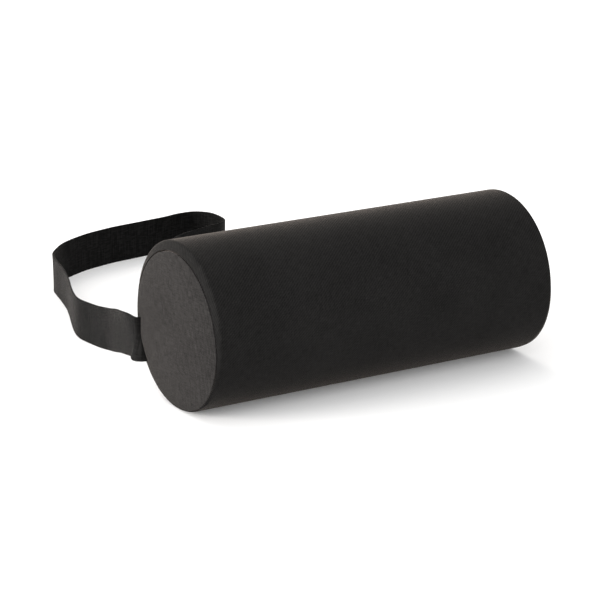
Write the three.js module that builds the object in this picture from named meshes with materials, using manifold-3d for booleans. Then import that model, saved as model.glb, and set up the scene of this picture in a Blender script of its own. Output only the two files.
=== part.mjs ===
// Lumbar support cushion: a round foam roll in a removable fabric cover, with an
// elastic strap that goes round the back of a chair.
// Millimetres, +Z up. The roll lies along X and rests on Z = 0, centred on the origin,
// with its zip and strap on the +Y side, which faces the chair.
import * as THREE from 'three';
import { mergeVertices } from 'three/addons/utils/BufferGeometryUtils.js';
import Module from 'manifold-3d';

const wasm = await Module();
wasm.setup();

// Roll
const ROLL_RADIUS = 60;
const FABRIC = 0.9; // thickness of the cover fabric
const FACETS = 56; // facets round the roll, with a flat one underneath
const FACET_ANGLE = (2 * Math.PI) / FACETS;
const REST_ANGLE = 1.5 * FACET_ANGLE; // half of the flattened underside
const AXIS_HEIGHT = ROLL_RADIUS * Math.cos(REST_ANGLE);
const CLEARANCE = 0.4; // between pieces that touch on the real cushion

// End seams
const SHOULDER_START = 128; // where the straight part of the tube panel ends
const SHOULDER_LENGTH = 10;
const SHOULDER_DEPTH = 4;
const SEAM_CORNER = 1.2; // radius of the fold at the seam
const SEAM_DROP = 2.5; // the end seams sit a little low, where the roll is squashed
const ALLOWANCE_END = 129; // X where the turned-in seam allowances stop
const PANEL_RADIUS = 52.6; // end panel, outside its allowance
const PANEL_EDGE = 137.2; // X of the end panel's rim
const PANEL_CROWN = 2.8; // how far the end panel domes out

// Foam
const FOAM_RADIUS = ROLL_RADIUS - FABRIC - CLEARANCE;
const FOAM_NECK = 50; // radius inside the seam allowances
const FOAM_RELIEF = ROLL_RADIUS - 3.8; // flat on the foam behind the zip

// Strap
const STRAP_WIDTH = 32;
const STRAP_THICKNESS = 1.4;
const STRAP_SEAM_RADIUS = 53.7; // radius at which it is sewn into the end seams
const STRAP_SEAM_ANGLE = THREE.MathUtils.degToRad(-22); // below the rear-most line
const STRAP_STEPS = 76;

// Zip, in the local frame of the closing seam: X along it, Y out of the roll, Z across it
const ZIP_ANGLE = THREE.MathUtils.degToRad(18); // above the rear-most line
const SLOT_HALF_LENGTH = 121;
const SLOT_HALF_WIDTH = 5.2;
const TAPE_THICKNESS = 0.6;
const TAPE_RADIUS = ROLL_RADIUS - FABRIC - CLEARANCE - TAPE_THICKNESS / 2;
const TAPE_INNER = 0.9; // distance of its inner edge from the middle of the zip
const TAPE_OUTER = 13;
const TAPE_HALF_LENGTH = 125;
const COIL_INNER = 0.7;
const COIL_OUTER = 3;
const COIL_BASE = ROLL_RADIUS - 1;
const COIL_TOP = ROLL_RADIUS + 0.7;
const COIL_HALF_LENGTH = 116;
const STOP_LENGTH = 2.4;
const STOP_GAP = 0.4;
const STITCH_OFFSET = 8; // stitch line beside the zip, from its middle
const STITCH_WIDTH = 0.6;
const STITCH_HEIGHT = 0.4;
const STITCH_HALF_LENGTH = 119;

// Slider and pull tab
const SLIDER_X = 109; // at rest, the zip closed
const SLIDER_LENGTH = 12;
const SLIDER_HALF_WIDTH = 4.4;
const SLIDER_TOP = ROLL_RADIUS + 2.1;
const SLIDER_NECK = 0.35;
const BRIDGE_HALF_LENGTH = 3.4;
const BRIDGE_POST = 0.9;
const BRIDGE_BAR = 0.9;
const BRIDGE_TOP = ROLL_RADIUS + 4.9;
const PIVOT_RADIUS = ROLL_RADIUS + 3; // pull tab's turning axis
const TAB_LENGTH = 30;
const TAB_HALF_WIDTH = 4;
const TAB_THICKNESS = 0.9;
const TAB_EYE_LENGTH = 4.9;
const TAB_EYE_HALF_WIDTH = 1.4;

const material = (color, roughness, metalness = 0) =>
  new THREE.MeshStandardMaterial({ color, roughness, metalness });
const coverFabric = material(0x202020, 0.9);
const endFabric = material(0x262524, 0.9);
const foam = material(0xd8d2c0, 0.95);
const webbing = material(0x191817, 0.8);
const tapeCloth = material(0x1b1b1b, 0.85);
const nylon = material(0x161616, 0.5);
const enamel = material(0x141414, 0.35, 0.6);
const thread = material(0x262626, 0.7);

const cushion = new THREE.Group();
const zip = new THREE.Group();
zip.position.z = AXIS_HEIGHT;
zip.rotation.x = ZIP_ANGLE;
zip.updateMatrix();
cushion.add(zip);

function addPiece(group, name, geometry, surface) {
  const mesh = new THREE.Mesh(geometry, surface);
  mesh.name = name;
  group.add(mesh);
}

// ---- geometry helpers ------------------------------------------------------------

function fromTriangles(points, triangles) {
  const geometry = new THREE.BufferGeometry();
  geometry.setAttribute('position', new THREE.Float32BufferAttribute(points.flat(), 3));
  geometry.setIndex(triangles.flat());
  return geometry;
}

function toSolid(geometry) {
  const bare = geometry.clone();
  bare.deleteAttribute('normal');
  bare.deleteAttribute('uv');
  const merged = mergeVertices(bare, 1e-4);
  return new wasm.Manifold(new wasm.Mesh({
    numProp: 3,
    vertProperties: new Float32Array(merged.attributes.position.array),
    triVerts: new Uint32Array(merged.index.array),
  }));
}

function toGeometry(solid) {
  const mesh = solid.getMesh();
  const geometry = new THREE.BufferGeometry();
  geometry.setAttribute('position', new THREE.BufferAttribute(mesh.vertProperties, 3));
  geometry.setIndex(new THREE.BufferAttribute(mesh.triVerts, 1));
  return geometry;
}

// Turns a profile of { x, r, drop, lift } round the roll's axis. drop lowers a ring's
// centre, and lift is how far inside the outer surface it lies, so that every layer is
// flattened by the same amount underneath. A closed profile makes a ring-shaped body;
// an open one starts and ends on the axis. The outside runs from -X to +X.
function turnAroundX(profile, closed) {
  const points = [];
  const rings = profile.map(({ x, r, drop = 0, lift = 0 }) => {
    const floor = -AXIS_HEIGHT + lift;
    const start = points.length;
    const count = r === 0 ? 1 : FACETS;
    for (let i = 0; i < count; i += 1) {
      const angle = -Math.PI / 2 + (i + 0.5) * FACET_ANGLE;
      const z = Math.max(r * Math.sin(angle) - drop, floor);
      points.push([x, r * Math.cos(angle), z + AXIS_HEIGHT]);
    }
    return { start, count };
  });
  const triangles = [];
  const last = closed ? rings.length : rings.length - 1;
  for (let k = 0; k < last; k += 1) {
    const a = rings[k];
    const b = rings[(k + 1) % rings.length];
    for (let i = 0; i < FACETS; i += 1) {
      const a0 = a.start + (i % a.count);
      const a1 = a.start + ((i + 1) % a.count);
      const b0 = b.start + (i % b.count);
      const b1 = b.start + ((i + 1) % b.count);
      if (a.count > 1) triangles.push([a0, a1, b0]);
      if (b.count > 1) triangles.push([a1, b1, b0]);
    }
  }
  return fromTriangles(points, triangles);
}

const opposite = (profile) => profile.map((point) => ({ ...point, x: -point.x }));

// Extrudes a shape drawn in the zip frame's (Y, Z) plane along X, from start to end.
function alongX(shape, start, end) {
  const geometry = new THREE.ExtrudeGeometry(shape, {
    depth: end - start,
    bevelEnabled: false,
    curveSegments: 6,
  });
  const toX = new THREE.Matrix4().makeBasis(
    new THREE.Vector3(0, 1, 0),
    new THREE.Vector3(0, 0, 1),
    new THREE.Vector3(1, 0, 0),
  );
  geometry.applyMatrix4(toX);
  geometry.translate(start, 0, 0);
  return geometry;
}

function rectangle(y0, y1, z0, z1) {
  const corners = [[y0, z0], [y1, z0], [y1, z1], [y0, z1]];
  return new THREE.Shape(corners.map(([y, z]) => new THREE.Vector2(y, z)));
}

// ---- roll -------------------------------------------------------------------------

// Half of the tube panel's outside (inset 0) or inside (inset FABRIC), from the tip of
// the turned-in seam allowance, round the seam's fold and up the shoulder.
function tubeSide(inset) {
  const seamRadius = ROLL_RADIUS - SHOULDER_DEPTH;
  const side = [];
  const corner = SEAM_CORNER - inset;
  const cornerX = SHOULDER_START + SHOULDER_LENGTH - SEAM_CORNER;
  side.push({ x: ALLOWANCE_END, r: seamRadius - corner, drop: SEAM_DROP });
  for (const turn of [0, Math.PI / 4]) {
    side.push({
      x: cornerX + corner * Math.sin(turn),
      r: seamRadius - corner * Math.cos(turn),
      drop: SEAM_DROP,
    });
  }
  const depth = SHOULDER_DEPTH - inset;
  for (let step = 3; step >= 0; step -= 1) {
    const turn = (step * Math.PI) / 6;
    side.push({
      x: SHOULDER_START + (SHOULDER_LENGTH - inset) * Math.sin(turn),
      r: seamRadius + depth * Math.cos(turn),
      drop: SEAM_DROP * (1 - Math.cos(turn)),
      lift: inset,
    });
  }
  return side;
}

function makeTubePanel() {
  const outside = tubeSide(0);
  const inside = tubeSide(FABRIC);
  const profile = [
    ...opposite(outside),
    ...[...outside].reverse(),
    ...inside,
    ...opposite(inside).reverse(),
  ];
  const panel = toSolid(turnAroundX(profile, true));
  const cutter = alongX(
    rectangle(ROLL_RADIUS - 8, ROLL_RADIUS + 4, -SLOT_HALF_WIDTH, SLOT_HALF_WIDTH),
    -SLOT_HALF_LENGTH,
    SLOT_HALF_LENGTH,
  );
  cutter.applyMatrix4(zip.matrix);
  return toGeometry(panel.subtract(toSolid(cutter)));
}

const crownAt = (r) => PANEL_CROWN * (1 - (r / (PANEL_RADIUS - SEAM_CORNER)) ** 2);

// One face of an end panel, from the axis out to the tip of its seam allowance.
function endPanelSide(inset) {
  const rim = PANEL_RADIUS - SEAM_CORNER;
  const side = [];
  for (const share of [0, 0.35, 0.7, 1]) {
    const r = share * rim;
    side.push({ x: PANEL_EDGE - inset + crownAt(r), r, drop: SEAM_DROP });
  }
  const corner = SEAM_CORNER - inset;
  const cornerX = PANEL_EDGE - SEAM_CORNER;
  for (const turn of [Math.PI / 4, Math.PI / 2]) {
    side.push({
      x: cornerX + corner * Math.cos(turn),
      r: rim + corner * Math.sin(turn),
      drop: SEAM_DROP,
    });
  }
  side.push({ x: ALLOWANCE_END, r: rim + corner, drop: SEAM_DROP });
  return side;
}

function makeEndPanel(side) {
  const profile = [...endPanelSide(0), ...endPanelSide(FABRIC).reverse()];
  return turnAroundX(side > 0 ? profile.reverse() : opposite(profile), false);
}

function makeFoamCore() {
  const half = [];
  for (const share of [0, 0.5, 1]) {
    const r = share * (FOAM_NECK - SEAM_CORNER);
    half.push({ x: PANEL_EDGE - FABRIC - CLEARANCE + crownAt(r), r, drop: SEAM_DROP });
  }
  const liftInside = FABRIC + CLEARANCE;
  half.push({ x: PANEL_EDGE - FABRIC - 2 * SEAM_CORNER, r: FOAM_NECK, drop: SEAM_DROP });
  half.push({ x: ALLOWANCE_END - CLEARANCE, r: FOAM_NECK, drop: SEAM_DROP });
  half.push({ x: ALLOWANCE_END - CLEARANCE, r: FOAM_RADIUS - SEAM_CORNER, lift: liftInside });
  half.push({ x: SHOULDER_START - SEAM_CORNER, r: FOAM_RADIUS, lift: liftInside });
  const core = toSolid(turnAroundX([...opposite(half), ...half.reverse()], false));
  const cutter = alongX(
    rectangle(FOAM_RELIEF, ROLL_RADIUS + 4, -ROLL_RADIUS, ROLL_RADIUS),
    -SLOT_HALF_LENGTH - 8,
    SLOT_HALF_LENGTH + 8,
  );
  cutter.applyMatrix4(zip.matrix);
  return toGeometry(core.subtract(toSolid(cutter)));
}

addPiece(cushion, 'foam_core', makeFoamCore(), foam);
addPiece(cushion, 'cover_tube_panel', makeTubePanel(), coverFabric);
addPiece(cushion, 'end_panel_left', makeEndPanel(-1), endFabric);
addPiece(cushion, 'end_panel_right', makeEndPanel(1), endFabric);

// ---- elastic strap ------------------------------------------------------------------

// The strap is sewn into both end seams, and lies slack behind the roll, standing on its
// edge on the surface. The points are on the middle of its width.
const seamY = STRAP_SEAM_RADIUS * Math.cos(STRAP_SEAM_ANGLE);
const seamZ = AXIS_HEIGHT - SEAM_DROP + STRAP_SEAM_RADIUS * Math.sin(STRAP_SEAM_ANGLE);
const restZ = STRAP_WIDTH / 2 + 0.2;
const STRAP_ROUTE = [
  [-131, seamY, seamZ],
  [-139, seamY + 0.3, seamZ],
  [-142, seamY + 3, seamZ - 0.2],
  [-142.6, seamY + 8, seamZ + 0.2],
  [-136.5, seamY + 38, seamZ - 5.3],
  [-130.5, seamY + 68, seamZ - 12.2],
  [-127.5, 149.5, restZ + 2.2],
  [-126, 181, restZ],
  [-117, 209.5, restZ],
  [-107, 235, restZ],
  [-99, 262, restZ],
  [-93.5, 285.5, restZ],
  [-88.5, 300.5, restZ],
  [-78, 314.5, restZ],
  [-63.5, 327.5, restZ],
  [-42, 339, restZ],
  [-16, 347, restZ],
  [40, 355.5, restZ],
  [60, 359.5, restZ],
  [73.5, 358.5, restZ],
  [82, 349.5, restZ],
  [84.5, 335.5, restZ],
  [82, 321.5, restZ],
  [74, 314.5, restZ],
  [63.5, 311.5, restZ],
  [32, 300.5, restZ],
  [18, 292, restZ],
  [9, 278, restZ],
  [7, 262, restZ],
  [14, 245, restZ],
  [49, 217.5, restZ],
  [96, 188, restZ],
  [114, 165, restZ],
  [125, 138, restZ + 3],
  [130.5, seamY + 62, seamZ - 11.5],
  [136.5, seamY + 38, seamZ - 7],
  [142.6, seamY + 8, seamZ - 0.8],
  [142, seamY + 3, seamZ - 0.2],
  [139, seamY + 0.3, seamZ],
  [131, seamY, seamZ],
];
const STRAP_TURN = 70; // length over which the strap turns upright, past the seam

function makeStrap() {
  const route = STRAP_ROUTE.map((point) => new THREE.Vector3(...point));
  const curve = new THREE.CatmullRomCurve3(route, false, 'centripetal');
  curve.arcLengthDivisions = 2000;
  const length = curve.getLength();
  const seamUp = new THREE.Vector3(0, -Math.sin(STRAP_SEAM_ANGLE), Math.cos(STRAP_SEAM_ANGLE));
  const up = new THREE.Vector3(0, 0, 1);
  const across = [-1, -1 / 3, 1 / 3, 1].map((share) => (share * STRAP_WIDTH) / 2);
  const outline = [
    ...across.map((w) => [w, STRAP_THICKNESS / 2]),
    ...[...across].reverse().map((w) => [w, -STRAP_THICKNESS / 2]),
  ];
  // stations stand closer together in the tight bends at the seams
  const stations = [];
  for (let i = 0; i <= STRAP_STEPS; i += 1) {
    const even = i / STRAP_STEPS;
    stations.push(even - (0.66 * Math.sin(4 * Math.PI * even)) / (4 * Math.PI));
  }
  const points = [];
  for (const u of stations) {
    const centre = curve.getPointAt(u);
    const along = curve.getTangentAt(u);
    const fromEnd = Math.min(u, 1 - u) * length;
    const upright = THREE.MathUtils.smoothstep(fromEnd, 8, STRAP_TURN);
    const width = seamUp.clone().lerp(up, upright);
    width.addScaledVector(along, -width.dot(along)).normalize();
    const face = along.clone().cross(width);
    const cupping = (1 - upright) / (2 * STRAP_SEAM_RADIUS);
    for (const [w, t] of outline) {
      const offset = t - cupping * w * w;
      const point = centre.clone().addScaledVector(width, w).addScaledVector(face, offset);
      points.push([point.x, point.y, Math.max(point.z, 0.1)]);
    }
  }
  const size = outline.length;
  const triangles = [];
  for (let k = 0; k < STRAP_STEPS; k += 1) {
    for (let i = 0; i < size; i += 1) {
      const a0 = k * size + i;
      const a1 = k * size + ((i + 1) % size);
      triangles.push([a0, a0 + size, a1]);
      triangles.push([a1, a0 + size, a1 + size]);
    }
  }
  const end = STRAP_STEPS * size;
  for (let i = 0; i < size / 2 - 1; i += 1) {
    const far = size - 1 - i;
    triangles.push([i, i + 1, far]);
    triangles.push([i + 1, far - 1, far]);
    triangles.push([end + i, end + far, end + i + 1]);
    triangles.push([end + i + 1, end + far, end + far - 1]);
  }
  return fromTriangles(points, triangles);
}

addPiece(cushion, 'elastic_strap', makeStrap(), webbing);

// ---- zip --------------------------------------------------------------------------

// side is 1 above the middle of the zip and -1 below it.
function tapeShape(side) {
  const outer = TAPE_RADIUS + TAPE_THICKNESS / 2;
  const inner = TAPE_RADIUS - TAPE_THICKNESS / 2;
  const from = side * Math.asin(TAPE_INNER / TAPE_RADIUS);
  const to = side * Math.asin(TAPE_OUTER / TAPE_RADIUS);
  const shape = new THREE.Shape();
  shape.absarc(0, 0, outer, from, to, side < 0);
  shape.absarc(0, 0, inner, to, from, side > 0);
  return shape;
}

function sliderShape() {
  const r = ROLL_RADIUS;
  const half = [
    [SLIDER_TOP, 3.6],
    [r + 1.5, SLIDER_HALF_WIDTH],
    [r - 1, SLIDER_HALF_WIDTH],
    [r - 1, COIL_OUTER + CLEARANCE],
    [COIL_TOP + CLEARANCE, COIL_OUTER + CLEARANCE],
    [COIL_TOP + CLEARANCE, SLIDER_NECK],
    [r - 2.4, SLIDER_NECK],
    [r - 2.4, SLIDER_HALF_WIDTH],
    [r - 3.4, SLIDER_HALF_WIDTH],
  ];
  const other = half.map(([y, z]) => [y, -z]).reverse();
  return new THREE.Shape([...half, ...other].map(([y, z]) => new THREE.Vector2(y, z)));
}

// Side view of the arch that holds the pull tab, drawn in X and Y.
function bridgeShape() {
  const foot = SLIDER_TOP - 0.5;
  const inside = BRIDGE_HALF_LENGTH - BRIDGE_POST;
  const shape = new THREE.Shape();
  shape.moveTo(-BRIDGE_HALF_LENGTH, foot);
  shape.lineTo(-inside, foot);
  shape.lineTo(-inside, BRIDGE_TOP - BRIDGE_BAR);
  shape.lineTo(inside, BRIDGE_TOP - BRIDGE_BAR);
  shape.lineTo(inside, foot);
  shape.lineTo(BRIDGE_HALF_LENGTH, foot);
  shape.lineTo(BRIDGE_HALF_LENGTH, BRIDGE_TOP - BRIDGE_BAR);
  shape.lineTo(inside, BRIDGE_TOP);
  shape.lineTo(-inside, BRIDGE_TOP);
  shape.lineTo(-BRIDGE_HALF_LENGTH, BRIDGE_TOP - BRIDGE_BAR);
  return shape;
}

function makeSlider() {
  const half = SLIDER_LENGTH / 2;
  const body = toSolid(alongX(sliderShape(), SLIDER_X - half, SLIDER_X + half));
  const width = 1.8;
  const bridge = new THREE.ExtrudeGeometry(bridgeShape(), { depth: width, bevelEnabled: false });
  bridge.translate(SLIDER_X, 0, -width / 2);
  return toGeometry(body.add(toSolid(bridge)));
}

// Drawn in X and Z with the pivot at its origin, pointing to -X.
function makePullTab() {
  const back = TAB_THICKNESS / 2;
  const corner = 2.5;
  const shape = new THREE.Shape();
  shape.moveTo(back, -TAB_HALF_WIDTH + 1);
  shape.lineTo(back, TAB_HALF_WIDTH - 1);
  shape.lineTo(-TAB_EYE_LENGTH - 2, TAB_HALF_WIDTH - 0.6);
  shape.lineTo(-TAB_LENGTH / 2, TAB_HALF_WIDTH);
  shape.lineTo(-TAB_LENGTH + corner, TAB_HALF_WIDTH);
  shape.absarc(-TAB_LENGTH + corner, TAB_HALF_WIDTH - corner, corner, Math.PI / 2, Math.PI);
  shape.absarc(-TAB_LENGTH + corner, corner - TAB_HALF_WIDTH, corner, Math.PI, 1.5 * Math.PI);
  shape.lineTo(-TAB_LENGTH / 2, -TAB_HALF_WIDTH);
  shape.lineTo(-TAB_EYE_LENGTH - 2, -TAB_HALF_WIDTH + 0.6);
  const eye = new THREE.Path();
  eye.moveTo(-back, -TAB_EYE_HALF_WIDTH);
  eye.lineTo(-TAB_EYE_LENGTH, -TAB_EYE_HALF_WIDTH);
  eye.lineTo(-TAB_EYE_LENGTH, TAB_EYE_HALF_WIDTH);
  eye.lineTo(-back, TAB_EYE_HALF_WIDTH);
  shape.holes.push(eye);
  const geometry = new THREE.ExtrudeGeometry(shape, {
    depth: TAB_THICKNESS,
    bevelEnabled: false,
    curveSegments: 4,
  });
  geometry.translate(0, 0, -TAB_THICKNESS / 2);
  geometry.rotateX(Math.PI / 2);
  geometry.translate(SLIDER_X, PIVOT_RADIUS, 0);
  return geometry;
}

const stopBase = ROLL_RADIUS - 1;
const stopTop = ROLL_RADIUS + 1.1;
const stopStart = COIL_HALF_LENGTH + STOP_GAP;
const stitchBase = ROLL_RADIUS - 0.15;
for (const [name, side] of [['upper', 1], ['lower', -1]]) {
  const tape = alongX(tapeShape(side), -TAPE_HALF_LENGTH, TAPE_HALF_LENGTH);
  addPiece(zip, `zip_tape_${name}`, tape, tapeCloth);

  const coil = rectangle(COIL_BASE, COIL_TOP, side * COIL_INNER, side * COIL_OUTER);
  const teeth = alongX(coil, -COIL_HALF_LENGTH, COIL_HALF_LENGTH);
  addPiece(zip, `zip_coil_${name}`, teeth, nylon);

  const stop = rectangle(stopBase, stopTop, side * COIL_INNER, side * (COIL_OUTER + 0.5));
  const topStop = alongX(stop, stopStart, stopStart + STOP_LENGTH);
  addPiece(zip, `zip_top_stop_${name}`, topStop, enamel);

  const stitch = rectangle(
    stitchBase,
    stitchBase + STITCH_HEIGHT,
    side * (STITCH_OFFSET - STITCH_WIDTH / 2),
    side * (STITCH_OFFSET + STITCH_WIDTH / 2),
  );
  const line = alongX(stitch, -STITCH_HALF_LENGTH, STITCH_HALF_LENGTH);
  addPiece(zip, `zip_stitch_${name}`, line, thread);
}

const bottomStop = rectangle(stopBase, stopTop, -COIL_OUTER - 0.5, COIL_OUTER + 0.5);
const bottomStopSolid = alongX(bottomStop, -stopStart - STOP_LENGTH, -stopStart);
addPiece(zip, 'zip_bottom_stop', bottomStopSolid, enamel);
addPiece(zip, 'zip_slider', makeSlider(), enamel);
addPiece(zip, 'zip_pull_tab', makePullTab(), enamel);

export default cushion;
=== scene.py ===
"""Looks of the lumbar support cushion: a round foam roll in a zipped fabric cover, with
an elastic strap sewn into both end seams. Metres, +Z up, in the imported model's frame."""

import math

import bmesh
import bpy
import numpy as np
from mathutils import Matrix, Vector


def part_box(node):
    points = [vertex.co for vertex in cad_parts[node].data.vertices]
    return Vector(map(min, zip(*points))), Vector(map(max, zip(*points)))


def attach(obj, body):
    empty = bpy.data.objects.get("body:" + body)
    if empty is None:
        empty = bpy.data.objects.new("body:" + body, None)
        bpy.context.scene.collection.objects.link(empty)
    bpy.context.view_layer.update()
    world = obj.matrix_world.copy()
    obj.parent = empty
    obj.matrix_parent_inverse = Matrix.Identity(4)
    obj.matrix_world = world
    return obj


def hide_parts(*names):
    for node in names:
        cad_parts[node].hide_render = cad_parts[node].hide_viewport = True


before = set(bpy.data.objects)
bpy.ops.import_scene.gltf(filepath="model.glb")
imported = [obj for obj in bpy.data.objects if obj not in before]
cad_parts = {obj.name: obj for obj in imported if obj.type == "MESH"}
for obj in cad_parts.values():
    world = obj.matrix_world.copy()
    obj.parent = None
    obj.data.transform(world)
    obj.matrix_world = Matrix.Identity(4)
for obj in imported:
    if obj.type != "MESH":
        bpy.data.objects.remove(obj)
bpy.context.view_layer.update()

MM = 0.001

# Roll. Its radius and rest are the CAD's, and its length is within 2 mm of it. Its end
# seams are wider and lower, as in the photo.
ROLL_RADIUS = 60 * MM
REST_ANGLE = math.radians(9.643)  # half of the flattened underside
AXIS_HEIGHT = ROLL_RADIUS * math.cos(REST_ANGLE)
SEAM_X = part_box("cover_tube_panel")[1].x + 1.0 * MM
CROWN_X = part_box("end_panel_right")[1].x + 0.6 * MM
SEAM_RADIUS = 56 * MM
SEAM_DROP = 3.2 * MM  # the end seams sit low, where the roll is squashed
SEAM_BULGE = 1.6 * MM  # and they reach further out low at the front
BULGE_ANGLE = math.radians(207)
SEAM_LIFT = 0.9 * MM  # how far they are drawn up from the floor underneath
SEAM_GAP = 1.1 * MM  # between the two folds, which close on each other inside the seam
STRAP_GAP = 1.7 * MM  # the same where the strap is between them
TUBE_EDGE = 0.5  # how far the tube's fold starts from the seam, in rings of the roll's form
END_EDGE = 0.14  # the same for the end panels
SHOULDER_SLOPE = math.radians(30)  # from the plane of the seam, just outside it
SHOULDER_BEND = 0.42  # share of the shoulder before it bends into the tube
CROWN_POWER = 4  # the end is flat in the middle and falls towards its seam
FABRIC = 0.35 * MM

# Strap
STRAP_WIDTH = 32 * MM
STRAP_THICKNESS = 1.3 * MM
STRAP_SEAM_RADIUS = 53.7 * MM
STRAP_SEAM_ANGLE = math.radians(-22)
STRAP_RINGS = 440
STRAP_SEWN = 8 * MM  # at each end it lies along the seam for this length
STRAP_TURN = 70 * MM  # and it stands upright from this distance on
STRAP_CLEAR = 0.1 * MM  # its least height above the floor

# Zip, measured round the roll from the zip's middle line
ZIP_ANGLE = math.radians(18)
SLOT_HALF_LENGTH = 121 * MM
SLOT_HALF_WIDTH = 5.1 * MM
HEM_REACH = 12.3 * MM  # the cover's points are close together up to here
STITCH_OFFSET = 8 * MM
STITCH_PITCH = 3.5 * MM
TAPE_RADIUS = 58.4 * MM
TAPE_HALF_LENGTH = 124.8 * MM
GUARD_RADIUS = ROLL_RADIUS - 3.85 * MM
GUARD_HALF_LENGTH = 124 * MM
GUARD_HALF_ANGLE = 0.2  # radians
COIL_HALF_LENGTH = 116 * MM
STOP_X = 117.6 * MM
SLIDER_X = 109 * MM
PIVOT_RADIUS = ROLL_RADIUS + 3 * MM

# Camera
CAMERA_AZIMUTH = math.radians(-31.4)
CAMERA_ELEVATION = math.radians(16.9)
CAMERA_DISTANCE = 1.624
CAMERA_RIGHT = -33.4 * MM
CAMERA_UP = -2.7 * MM
CAMERA_LENS = 136.6


# ---- camera ---------------------------------------------------------------------------


def towards(azimuth, elevation):
    """The direction of an azimuth, counted from -Y towards +X, and an elevation."""
    flat = math.cos(elevation)
    return Vector((math.sin(azimuth) * flat, -math.cos(azimuth) * flat, math.sin(elevation)))


def new_object(name, data):
    made = bpy.data.objects.new(name, data)
    bpy.context.collection.objects.link(made)
    return made


def make_camera():
    back = towards(CAMERA_AZIMUTH, CAMERA_ELEVATION)
    turn = (-back).to_track_quat("-Z", "Y")
    data = bpy.data.cameras.new("camera")
    data.lens = CAMERA_LENS
    camera = new_object("camera", data)
    camera.rotation_euler = turn.to_euler()
    aside = turn @ Vector((CAMERA_RIGHT, CAMERA_UP, 0))
    camera.location = Vector((0, 0, AXIS_HEIGHT)) + back * CAMERA_DISTANCE + aside
    bpy.context.scene.camera = camera


# ---- meshes ---------------------------------------------------------------------------


def add_object(name, mesh, material, body="cushion"):
    piece = new_object(name, mesh)
    mesh.materials.append(material)
    mesh.shade_smooth()
    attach(piece, body)
    return piece


def add_solid(name, shape, material, node, body="cushion"):
    """A piece from its points and faces, in place of a CAD node."""
    mesh = mesh_from(name, *shape)
    outward(mesh)
    piece = add_object(name, mesh, material, body)
    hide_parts(node)
    return piece


def mesh_from(name, points, faces, uvs=None):
    mesh = bpy.data.meshes.new(name)
    mesh.from_pydata([tuple(p) for p in points], [], [tuple(f) for f in faces])
    if uvs is not None:
        layer = mesh.uv_layers.new(name="cloth")
        layer.data.foreach_set("uv", np.concatenate([np.ravel(uv) for uv in uvs]))
    mesh.update()
    return mesh


def grid_faces(rows, columns, wrap=False, first=0):
    """Quads of a grid of points stored row by row. wrap joins the last column to the first."""
    spans = columns if wrap else columns - 1
    faces = []
    corners = []
    for row in range(rows - 1):
        for column in range(spans):
            after = (column + 1) % columns
            a = first + row * columns
            b = a + columns
            faces.append((a + column, a + after, b + after, b + column))
            here = ((row, column), (row, column + 1))
            beyond = ((row + 1, column + 1), (row + 1, column))
            corners.append(here + beyond)
    return faces, corners


def end_faces(rows, columns):
    """The two faces that close the ends of a wrapped grid."""
    return [tuple(range(columns))[::-1], tuple(range((rows - 1) * columns, rows * columns))]


def unit(vectors):
    return vectors / np.linalg.norm(vectors, axis=-1, keepdims=True)


def running_length(points):
    """Distance along a row of points, or along a row of rings on average."""
    steps = np.linalg.norm(np.diff(points, axis=0), axis=-1)
    steps = steps.reshape(len(steps), -1).mean(1)
    return np.concatenate([[0], np.cumsum(steps)])


def bar_mesh(name, rings, along, around):
    """A closed bar of cloth from its rings, with the cloth's coordinates along and around."""
    rows, columns = rings.shape[:2]
    faces, corners = grid_faces(rows, columns, wrap=True)
    uvs = [[(along[r], around[c]) for r, c in corner] for corner in corners]
    uvs += [[(0, 0)] * columns, [(0, 0)] * columns]
    mesh = mesh_from(name, rings.reshape(-1, 3), faces + end_faces(rows, columns), uvs)
    outward(mesh)
    return mesh


def apply_modifiers(piece):
    graph = bpy.context.evaluated_depsgraph_get()
    baked = bpy.data.meshes.new_from_object(piece.evaluated_get(graph), depsgraph=graph)
    baked.name = piece.data.name
    piece.modifiers.clear()
    piece.data = baked


def thicken(piece, thickness):
    solid = piece.modifiers.new("thickness", "SOLIDIFY")
    solid.thickness = thickness
    solid.offset = -1
    apply_modifiers(piece)


def tube_along(path, radius, sides, up, flatten=1.0):
    """Points and faces of a round bar along a path, with rounded ends."""
    path = np.asarray(path, float)
    tangents = unit(np.gradient(path, axis=0))
    first = path[0] - tangents[0] * radius * 0.6
    last = path[-1] + tangents[-1] * radius * 0.6
    centres = np.vstack([first, path, last])
    tangents = np.vstack([tangents[0], tangents, tangents[-1]])
    radii = np.full(len(centres), radius)
    radii[[0, -1]] = radius * 0.45
    side = unit(np.cross(tangents, np.asarray(up, float)))
    above = np.cross(side, tangents)
    turn = np.arange(sides) * 2 * math.pi / sides
    rings = (
        centres[:, None]
        + side[:, None] * (radii[:, None] * np.cos(turn))[..., None]
        + above[:, None] * (radii[:, None] * np.sin(turn) * flatten)[..., None]
    )
    points = rings.reshape(-1, 3)
    faces, _ = grid_faces(len(centres), sides, wrap=True)
    return points, faces + end_faces(len(centres), sides)


def joined(parts):
    points = []
    faces = []
    for part_points, part_faces in parts:
        start = len(points)
        points.extend(part_points)
        faces.extend([tuple(start + i for i in face) for face in part_faces])
    return points, faces


def outward(mesh):
    shape = bmesh.new()
    shape.from_mesh(mesh)
    bmesh.ops.recalc_face_normals(shape, faces=shape.faces)
    shape.to_mesh(mesh)
    shape.free()


# ---- elastic strap --------------------------------------------------------------------

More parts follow.
